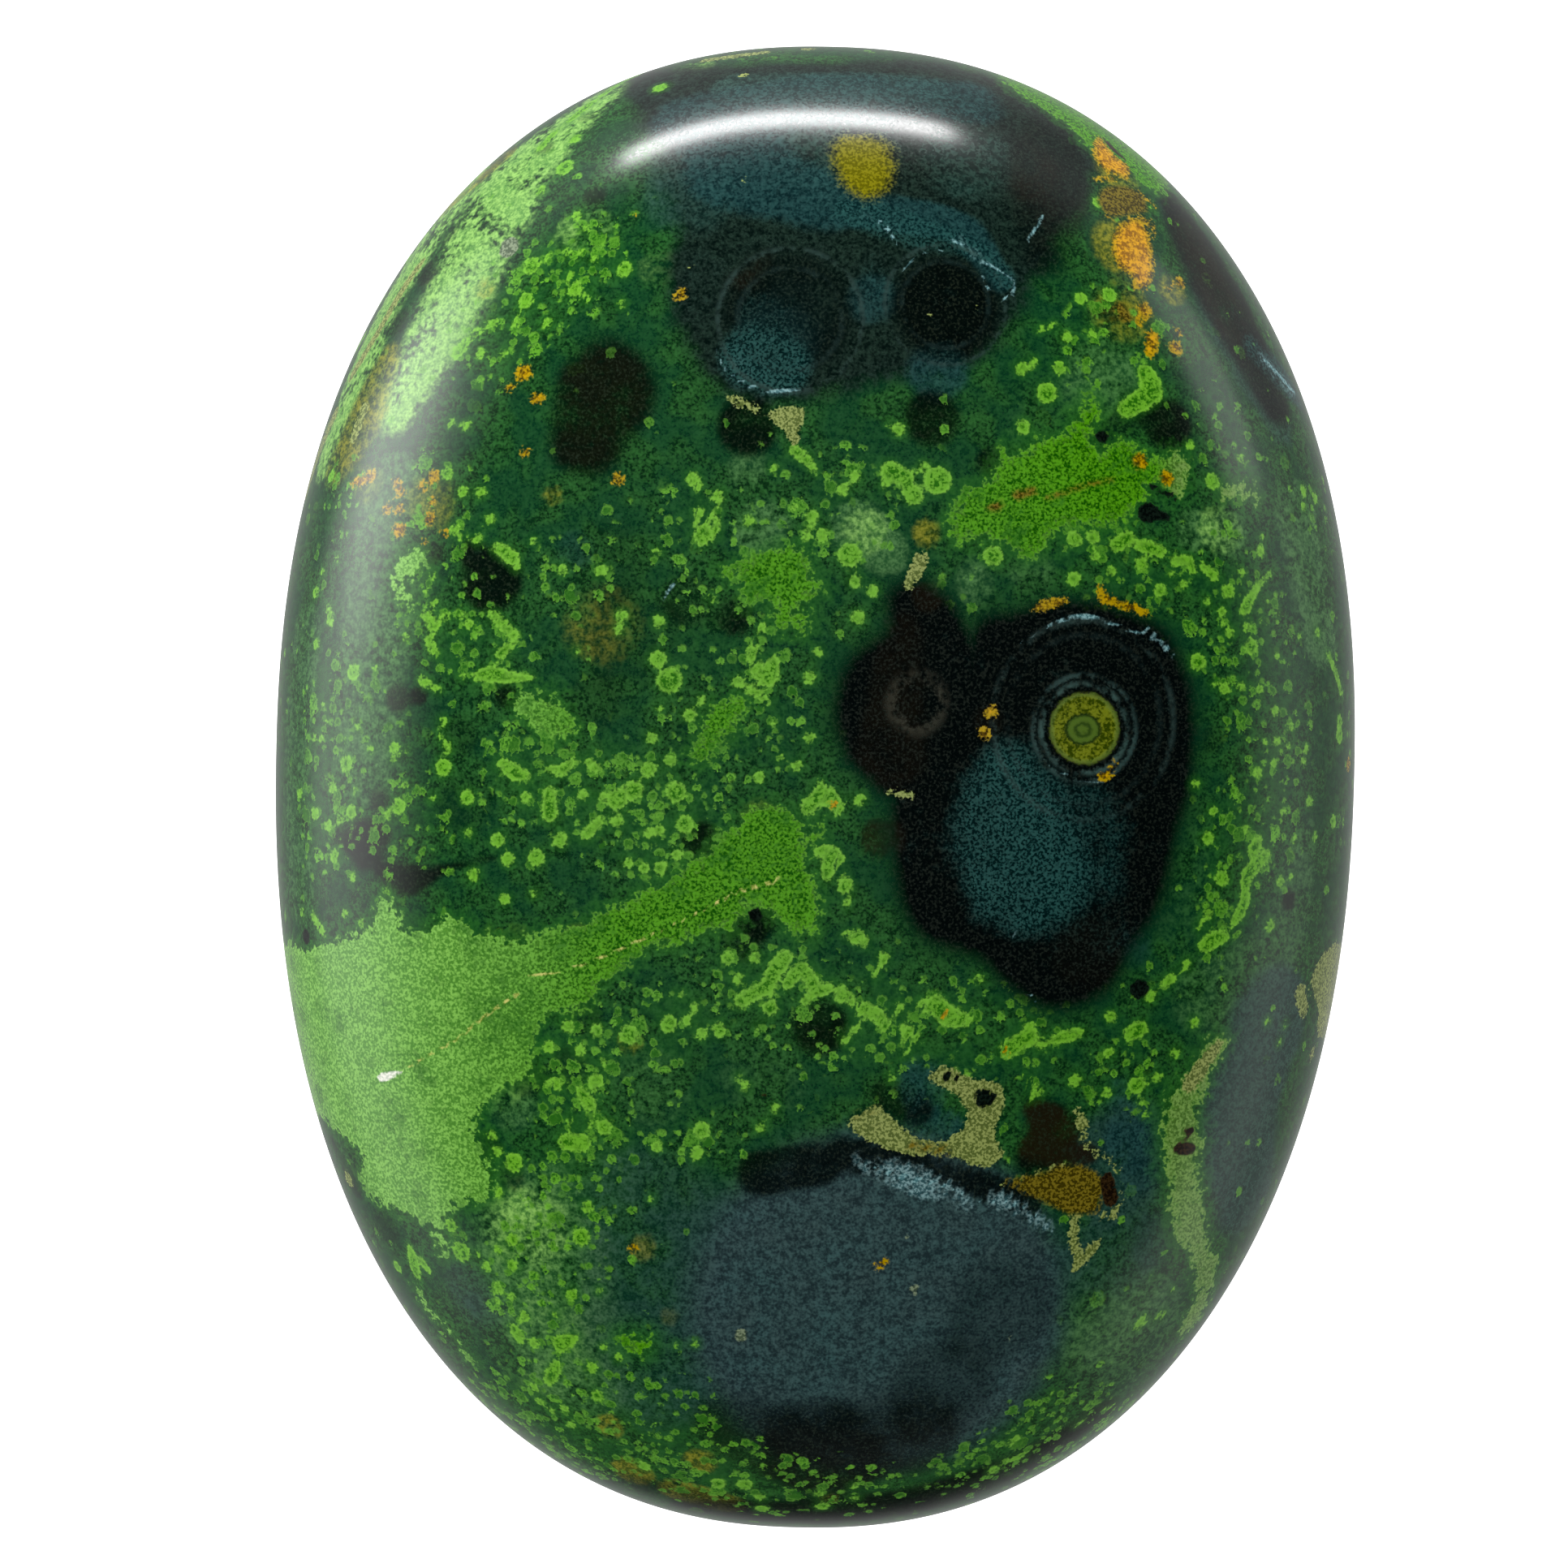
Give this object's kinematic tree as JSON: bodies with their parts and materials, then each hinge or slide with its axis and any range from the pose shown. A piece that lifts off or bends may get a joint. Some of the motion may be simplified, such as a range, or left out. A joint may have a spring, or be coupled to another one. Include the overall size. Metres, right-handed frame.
{
  "type": "kambaba jasper palm stone",
  "caption": "Polished egg-shaped palm stone of green and black orbicular jasper, domed on both faces, resting on a small flat spot.",
  "frame": {"origin": "under the middle of the stone, on the flat spot that it rests on", "axes": "+Y along the length to the blunt end, +X across the width, +Z out of the patterned face"},
  "size_m": [0.0466, 0.064, 0.025],
  "materials": {
    "jasper": "polished, dark green with bright green flecks and near-black orbs"
  },
  "bodies": {
    "root": {"palm_stone": "jasper"}
  },
  "joints": []
}
